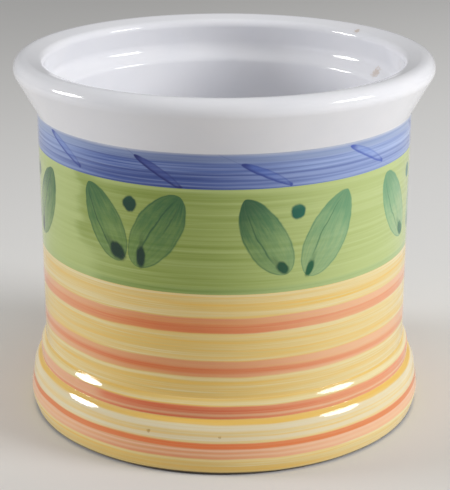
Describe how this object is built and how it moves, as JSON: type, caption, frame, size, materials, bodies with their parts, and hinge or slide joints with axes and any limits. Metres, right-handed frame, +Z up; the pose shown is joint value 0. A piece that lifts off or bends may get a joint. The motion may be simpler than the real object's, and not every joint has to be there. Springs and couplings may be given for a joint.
{
  "type": "kitchen canister",
  "caption": "Open round glazed crock on a stepped base, with a straight wall, flared collar, rolled lip and sloping lid seat, for keeping dry food or utensils on a kitchen counter.",
  "frame": {"origin": "middle of the foot ring, on the surface that the pot stands on", "axes": "+Z up along the pot's axis, -Y towards the viewer"},
  "size_m": [0.178, 0.178, 0.156],
  "materials": {
    "clay": "bare fired buff clay, matt and slightly gritty",
    "white_glaze": "glossy cool white glaze",
    "blue_glaze": "glossy brushed blue with darker slanting dashes",
    "green_glaze": "glossy brushed leaf green with darker leaves and dots",
    "yellow_glaze": "glossy brushed warm yellow with pale and golden streaks",
    "orange_glaze": "glossy brushed orange stripe"
  },
  "bodies": {
    "root": {"clay_body": "clay", "white_glaze": "white_glaze", "underside_glaze": "white_glaze", "blue_band": "blue_glaze", "green_band": "green_glaze", "yellow_band_1": "yellow_glaze", "yellow_band_2": "yellow_glaze", "yellow_band_3": "yellow_glaze", "yellow_band_4": "yellow_glaze", "yellow_band_5": "yellow_glaze", "orange_stripe_1": "orange_glaze", "orange_stripe_2": "orange_glaze", "orange_stripe_3": "orange_glaze", "orange_stripe_4": "orange_glaze"}
  },
  "joints": []
}
